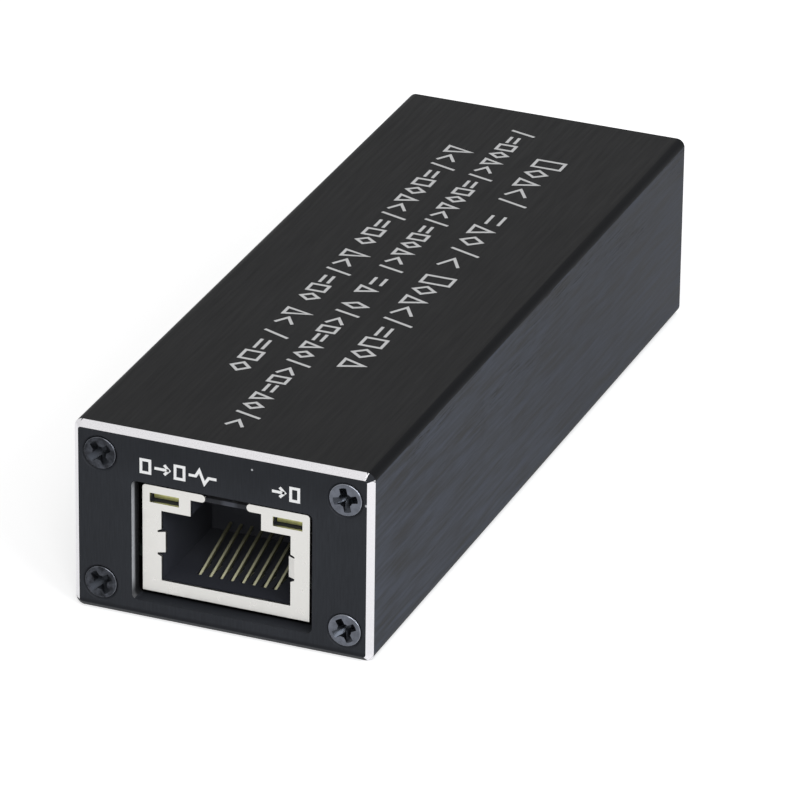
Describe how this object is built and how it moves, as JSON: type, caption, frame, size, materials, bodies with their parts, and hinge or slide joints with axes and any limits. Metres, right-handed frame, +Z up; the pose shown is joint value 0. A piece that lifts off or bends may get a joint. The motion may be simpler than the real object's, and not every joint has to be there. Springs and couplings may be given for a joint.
{
  "type": "fibre media converter",
  "caption": "Pocket-sized metal network converter: shielded twisted-pair jack with two lamps in front, optical module slot and power socket behind.",
  "frame": {"origin": "under the middle of the case, on the surface that it stands on", "axes": "+X to the right seen from the network jack, +Y along the case from the jack to the module slot, +Z up"},
  "size_m": [0.028, 0.078, 0.018],
  "materials": {
    "anodised": "black anodised, fine lengthwise brushing",
    "screw_black": "black plated steel, satin",
    "nickel": "satin nickel plate on brass sheet",
    "black_plastic": "glass-filled black moulding",
    "gold": "gold plated phosphor bronze",
    "lamp": "tinted clear epoxy, yellow-green",
    "tinned": "tin plated sheet steel",
    "spring_steel": "bright spring steel",
    "board": "black solder mask on glass epoxy",
    "package": "black epoxy moulding",
    "crystal_can": "sealed metal lid",
    "ferrite": "moulded ferrite powder",
    "capacitor_can": "bare aluminium can",
    "ceramic": "fired ceramic with tinned ends",
    "resistor": "glazed thick film with tinned ends"
  },
  "bodies": {
    "root": {"housing_sleeve": "anodised", "front_panel": "anodised", "rear_panel": "anodised", "front_panel_screws": "screw_black", "rear_panel_screws": "screw_black", "rj45_shield": "nickel", "rj45_housing": "black_plastic", "rj45_contacts": "gold", "rj45_lamp_left": "lamp", "rj45_lamp_right": "lamp", "sfp_cage": "tinned", "sfp_spring_collar": "spring_steel", "sfp_connector": "black_plastic", "sfp_connector_contacts": "gold", "usb_c_shell": "nickel", "usb_c_insert": "black_plastic", "usb_c_contacts": "gold", "circuit_board": "board", "lan_transformer": "package", "converter_chip": "package", "reference_crystal": "crystal_can", "config_memory": "package", "buck_regulator": "package", "buck_inductor": "ferrite", "surge_diode": "package", "bridge_rectifier_left": "package", "bridge_rectifier_right": "package", "bulk_capacitor_left": "capacitor_can", "bulk_capacitor_right": "capacitor_can", "ceramic_capacitors": "ceramic", "chip_resistors": "resistor"}
  },
  "joints": []
}
